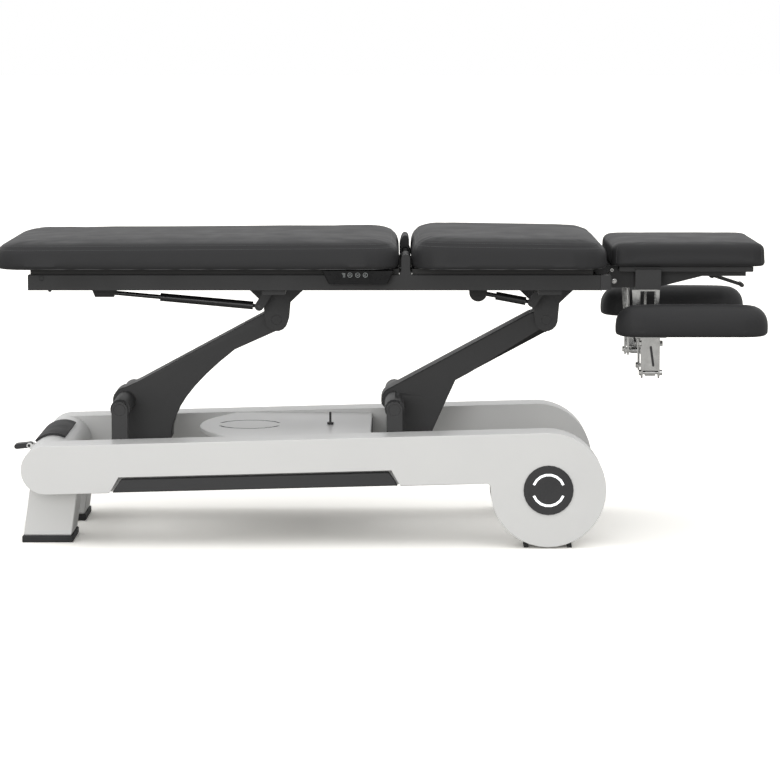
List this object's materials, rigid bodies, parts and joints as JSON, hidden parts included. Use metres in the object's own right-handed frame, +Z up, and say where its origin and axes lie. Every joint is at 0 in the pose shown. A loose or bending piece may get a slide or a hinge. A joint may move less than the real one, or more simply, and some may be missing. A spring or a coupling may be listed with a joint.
{
  "type": "electric massage table",
  "caption": "Electric massage table with a level-lifting base, tilting leg, back and head sections and swing-up armrests.",
  "frame": {"origin": "on the floor under the middle of the table's outline", "axes": "+X along the table from the foot end to the head end, +Y across it, away from the keypad side, +Z up"},
  "size_m": [2.017, 0.706, 0.8114],
  "materials": {
    "white_lacquer": "satin white lacquer",
    "dark_grey_powder_coat": "matt dark grey powder coat",
    "anthracite_leatherette": "anthracite leatherette over foam",
    "black_rubber": "matt black",
    "black_plastic": "satin black",
    "polished_steel": "polished",
    "dark_stained_board": "dark stained plywood",
    "light_guide": "clear white light guide"
  },
  "bodies": {
    "base": {"control_box": "black_plastic", "cross_member": "dark_grey_powder_coat", "deck_cover": "white_lacquer", "end_pad": "black_rubber", "end_tube": "white_lacquer", "foot_far": "white_lacquer", "foot_near": "white_lacquer", "foot_pad_far": "black_rubber", "foot_pad_near": "black_rubber", "lift_actuator": "black_plastic", "light_ring_far": "light_guide", "light_ring_near": "light_guide", "pivot_ear_left_far": "dark_grey_powder_coat", "pivot_ear_left_near": "dark_grey_powder_coat", "pivot_ear_right_far": "dark_grey_powder_coat", "pivot_ear_right_near": "dark_grey_powder_coat", "pod_cap_far": "black_plastic", "pod_cap_near": "black_plastic", "pod_foot_far": "black_rubber", "pod_foot_near": "black_rubber", "side_beam_far": "white_lacquer", "side_beam_near": "white_lacquer"},
    "foot_bar_near": {"foot_bar_near": "black_plastic"},
    "foot_bar_far": {"foot_bar_far": "black_plastic"},
    "foot_pedal": {"foot_pedal": "black_plastic"},
    "lift_rod": {"lift_rod": "polished_steel"},
    "lift_arm_left": {"lift_arm_left": "dark_grey_powder_coat"},
    "lift_arm_right": {"lift_arm_right": "dark_grey_powder_coat"},
    "top_frame": {"rail_near": "dark_grey_powder_coat", "rail_far": "dark_grey_powder_coat", "arm_crossbar_left": "dark_grey_powder_coat", "arm_crossbar_right": "dark_grey_powder_coat", "end_bar_foot": "dark_grey_powder_coat", "keypad_housing": "black_plastic", "gap_strip": "anthracite_leatherette"},
    "keypad_button_1": {"keypad_button_1": "black_plastic"},
    "keypad_button_2": {"keypad_button_2": "black_plastic"},
    "keypad_button_3": {"keypad_button_3": "black_plastic"},
    "leg_section": {"leg_board": "dark_stained_board", "leg_cushion": "anthracite_leatherette"},
    "leg_spring_barrel": {"leg_spring_barrel": "black_plastic"},
    "leg_spring_rod": {"leg_spring_rod": "polished_steel"},
    "back_section": {"back_board": "dark_stained_board", "back_cushion": "anthracite_leatherette", "end_bar_head": "dark_grey_powder_coat"},
    "back_spring_barrel": {"back_spring_barrel": "black_plastic"},
    "back_spring_rod": {"back_spring_rod": "polished_steel"},
    "head_section": {"head_frame": "dark_grey_powder_coat", "head_cushion": "anthracite_leatherette", "armrest_hanger_near": "polished_steel", "armrest_hanger_far": "polished_steel"},
    "head_lever": {"head_lever": "black_plastic"},
    "armrest_link_upper_near": {"armrest_link_upper_near": "polished_steel"},
    "armrest_link_lower_near": {"armrest_link_lower_near": "polished_steel"},
    "armrest_near": {"armrest_bracket_near": "polished_steel", "armrest_pad_near": "anthracite_leatherette"},
    "armrest_link_upper_far": {"armrest_link_upper_far": "polished_steel"},
    "armrest_link_lower_far": {"armrest_link_lower_far": "polished_steel"},
    "armrest_far": {"armrest_bracket_far": "polished_steel", "armrest_pad_far": "anthracite_leatherette"}
  },
  "joints": [
    {"name": "lift", "type": "hinge", "parent": "base", "child": "lift_arm_left", "pos_m": [-0.6921, 0, 0.353], "axis": [0, -1, 0], "range_deg": [-30, 32]},
    {"name": "lift_right", "type": "hinge", "parent": "base", "child": "lift_arm_right", "pos_m": [0.0329, 0, 0.353], "axis": [0, -1, 0], "range_deg": [-30, 32]},
    {"name": "top_level", "type": "hinge", "parent": "lift_arm_left", "child": "top_frame", "pos_m": [-0.284, 0, 0.57274], "axis": [0, -1, 0], "range_deg": [-32, 30]},
    {"name": "lift_drive", "type": "slide", "parent": "base", "child": "lift_rod", "axis": [1, 0, 0], "range_m": [-0.1, 0.105]},
    {"name": "leg_tilt", "type": "hinge", "parent": "top_frame", "child": "leg_section", "pos_m": [0.062, 0, 0.75604], "axis": [0, 1, 0], "range_deg": [0, 15]},
    {"name": "leg_spring_swing", "type": "hinge", "parent": "top_frame", "child": "leg_spring_barrel", "pos_m": [-0.328, -0.105, 0.61474], "axis": [0, 1, 0], "range_deg": [-1, 27.9]},
    {"name": "leg_spring_stroke", "type": "slide", "parent": "leg_spring_barrel", "child": "leg_spring_rod", "axis": [-0.9958, 0, 0.0918], "range_m": [-0.002, 0.0712]},
    {"name": "back_tilt", "type": "hinge", "parent": "top_frame", "child": "back_section", "pos_m": [0.062, 0, 0.75604], "axis": [0, -1, 0], "range_deg": [0, 18]},
    {"name": "back_spring_swing", "type": "hinge", "parent": "top_frame", "child": "back_spring_barrel", "pos_m": [0.4, -0.105, 0.62474], "axis": [0, 1, 0], "range_deg": [-1, 28.6]},
    {"name": "back_spring_stroke", "type": "slide", "parent": "back_spring_barrel", "child": "back_spring_rod", "axis": [-0.9829, 0, 0.1843], "range_m": [-0.002, 0.0097]},
    {"name": "head_tilt", "type": "hinge", "parent": "back_section", "child": "head_section", "pos_m": [0.591, 0, 0.72064], "axis": [0, -1, 0], "range_deg": [-30, 20]},
    {"name": "head_lever_pull", "type": "hinge", "parent": "head_section", "child": "head_lever", "pos_m": [0.8885, 0, 0.69014], "axis": [0, -1, 0], "range_deg": [0, 12], "stiffness_Nm_per_rad": 2, "springref_deg": -5.73},
    {"name": "armrest_swing_near", "type": "hinge", "parent": "head_section", "child": "armrest_link_upper_near", "pos_m": [0.702, -0.18, 0.542], "axis": [-1, 0, 0], "range_deg": [0, 34]},
    {"name": "armrest_lower_near", "type": "hinge", "parent": "head_section", "child": "armrest_link_lower_near", "pos_m": [0.702, -0.18, 0.465], "axis": [-1, 0, 0], "range_deg": [0, 34]},
    {"name": "armrest_level_near", "type": "hinge", "parent": "armrest_link_upper_near", "child": "armrest_near", "pos_m": [0.702, -0.285, 0.534], "axis": [-1, 0, 0], "range_deg": [-34, 0]},
    {"name": "foot_bar_press_near", "type": "slide", "parent": "base", "child": "foot_bar_near", "axis": [0, 0, 1], "range_m": [-0.006, 0.006], "stiffness_N_per_m": 4000},
    {"name": "armrest_swing_far", "type": "hinge", "parent": "head_section", "child": "armrest_link_upper_far", "pos_m": [0.702, 0.18, 0.542], "axis": [1, 0, 0], "range_deg": [0, 34]},
    {"name": "armrest_lower_far", "type": "hinge", "parent": "head_section", "child": "armrest_link_lower_far", "pos_m": [0.702, 0.18, 0.465], "axis": [1, 0, 0], "range_deg": [0, 34]},
    {"name": "armrest_level_far", "type": "hinge", "parent": "armrest_link_upper_far", "child": "armrest_far", "pos_m": [0.702, 0.285, 0.534], "axis": [1, 0, 0], "range_deg": [-34, 0]},
    {"name": "foot_bar_press_far", "type": "slide", "parent": "base", "child": "foot_bar_far", "axis": [0, 0, 1], "range_m": [-0.006, 0.006], "stiffness_N_per_m": 4000},
    {"name": "foot_pedal_press", "type": "hinge", "parent": "base", "child": "foot_pedal", "pos_m": [-0.94798, -0.09, 0.23912], "axis": [0, -1, 0], "range_deg": [-12, 12], "stiffness_Nm_per_rad": 4},
    {"name": "keypad_press_1", "type": "slide", "parent": "top_frame", "child": "keypad_button_1", "axis": [0, 1, 0], "range_m": [0, 0.0012], "stiffness_N_per_m": 800, "springref_m": -0.001},
    {"name": "keypad_press_2", "type": "slide", "parent": "top_frame", "child": "keypad_button_2", "axis": [0, 1, 0], "range_m": [0, 0.0012], "stiffness_N_per_m": 800, "springref_m": -0.001},
    {"name": "keypad_press_3", "type": "slide", "parent": "top_frame", "child": "keypad_button_3", "axis": [0, 1, 0], "range_m": [0, 0.0012], "stiffness_N_per_m": 800, "springref_m": -0.001}
  ],
  "couplings": [
    {"joint": "lift_right", "follows": "lift", "ratio": 1},
    {"joint": "top_level", "follows": "lift", "ratio": -1},
    {"joint": "lift_drive", "follows": "lift", "m_per_rad": 0.183},
    {"joint": "leg_spring_swing", "follows": "leg_tilt", "ratio": 1.7283},
    {"joint": "leg_spring_stroke", "follows": "leg_tilt", "m_per_rad": 0.25666},
    {"joint": "back_spring_swing", "follows": "back_tilt", "ratio": 1.4768},
    {"joint": "back_spring_stroke", "follows": "back_tilt", "m_per_rad": 0.01826},
    {"joint": "armrest_lower_near", "follows": "armrest_swing_near", "ratio": 1},
    {"joint": "armrest_level_near", "follows": "armrest_swing_near", "ratio": -1},
    {"joint": "armrest_lower_far", "follows": "armrest_swing_far", "ratio": 1},
    {"joint": "armrest_level_far", "follows": "armrest_swing_far", "ratio": -1}
  ]
}
